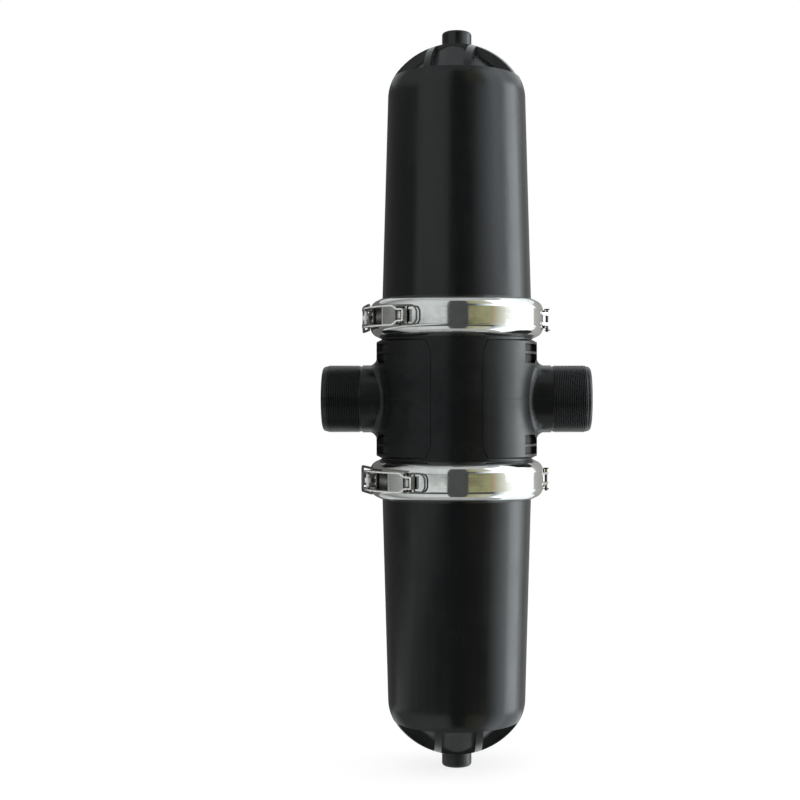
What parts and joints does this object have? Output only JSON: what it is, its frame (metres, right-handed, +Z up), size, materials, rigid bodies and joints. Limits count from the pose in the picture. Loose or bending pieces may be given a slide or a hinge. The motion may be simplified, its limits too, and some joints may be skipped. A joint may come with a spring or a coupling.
{
  "type": "twin screen irrigation filter",
  "caption": "In-line irrigation screen filter: ported centre body, domed housings on over-centre band clamps, screen cartridges inside, threaded flush bosses at the ends.",
  "frame": {"origin": "where the port axis crosses the long axis of the filter", "axes": "+Z up along the housings, +X along the ports towards the outlet, -Y towards the front"},
  "size_m": [0.35, 0.226, 0.9598],
  "materials": {
    "black_plastic": "satin moulded plastic",
    "red_plastic": "moulded plastic",
    "screen_cloth": "fine woven screen cloth",
    "seal_rubber": "smooth",
    "polished_steel": "mirror-polished stainless steel"
  },
  "bodies": {
    "filter": {"center_body": "black_plastic", "upper_housing": "black_plastic", "upper_flange_seal": "seal_rubber", "upper_screen_frame": "red_plastic", "upper_screen_cloth": "screen_cloth", "upper_inner_seal": "seal_rubber", "upper_outer_seal": "seal_rubber", "upper_rear_band": "polished_steel", "upper_hinge_pin": "polished_steel", "upper_split_pin": "polished_steel", "upper_keeper": "polished_steel", "lower_housing": "black_plastic", "lower_flange_seal": "seal_rubber", "lower_screen_frame": "red_plastic", "lower_screen_cloth": "screen_cloth", "lower_inner_seal": "seal_rubber", "lower_outer_seal": "seal_rubber", "lower_rear_band": "polished_steel", "lower_hinge_pin": "polished_steel", "lower_split_pin": "polished_steel", "lower_keeper": "polished_steel"},
    "upper_front_half": {"upper_front_band": "polished_steel", "upper_lever_bracket": "polished_steel", "upper_lever_pin": "polished_steel"},
    "upper_latch_lever": {"upper_lever": "polished_steel"},
    "upper_wire_bail": {"upper_bail": "polished_steel"},
    "upper_wire_ring": {"upper_pull_ring": "polished_steel"},
    "lower_front_half": {"lower_front_band": "polished_steel", "lower_lever_bracket": "polished_steel", "lower_lever_pin": "polished_steel"},
    "lower_latch_lever": {"lower_lever": "polished_steel"},
    "lower_wire_bail": {"lower_bail": "polished_steel"},
    "lower_wire_ring": {"lower_pull_ring": "polished_steel"}
  },
  "joints": [
    {"name": "upper_half_swing", "type": "hinge", "parent": "filter", "child": "upper_front_half", "pos_m": [0.1184, 0, 0.1044], "axis": [0, 0, 1], "range_deg": [0, 15]},
    {"name": "upper_lever_open", "type": "hinge", "parent": "upper_front_half", "child": "upper_latch_lever", "pos_m": [-0.11692, -0.02915, 0.1044], "axis": [0, 0, -1], "range_deg": [0, 100]},
    {"name": "upper_bail_lift", "type": "hinge", "parent": "upper_latch_lever", "child": "upper_wire_bail", "pos_m": [-0.11246, -0.04326, 0.1044], "axis": [0, 0, 1], "range_deg": [0, 155]},
    {"name": "upper_ring_lift", "type": "hinge", "parent": "upper_latch_lever", "child": "upper_wire_ring", "pos_m": [-0.06878, -0.09792, 0.1044], "axis": [0, 0, -1], "range_deg": [0, 100]},
    {"name": "lower_half_swing", "type": "hinge", "parent": "filter", "child": "lower_front_half", "pos_m": [0.11786, 0.01135, -0.1044], "axis": [0, 0, 1], "range_deg": [0, 15]},
    {"name": "lower_lever_open", "type": "hinge", "parent": "lower_front_half", "child": "lower_latch_lever", "pos_m": [-0.11359, -0.04022, -0.1044], "axis": [0, 0, -1], "range_deg": [0, 100]},
    {"name": "lower_bail_lift", "type": "hinge", "parent": "lower_latch_lever", "child": "lower_wire_bail", "pos_m": [-0.1078, -0.05384, -0.1044], "axis": [0, 0, 1], "range_deg": [0, 155]},
    {"name": "lower_ring_lift", "type": "hinge", "parent": "lower_latch_lever", "child": "lower_wire_ring", "pos_m": [-0.05908, -0.10407, -0.1044], "axis": [0, 0, -1], "range_deg": [0, 100]}
  ],
  "couplings": [
    {"joint": "upper_half_swing", "follows": "upper_lever_open", "ratio": 0.15},
    {"joint": "upper_bail_lift", "follows": "upper_lever_open", "ratio": 1.55},
    {"joint": "lower_half_swing", "follows": "lower_lever_open", "ratio": 0.15},
    {"joint": "lower_bail_lift", "follows": "lower_lever_open", "ratio": 1.55}
  ]
}
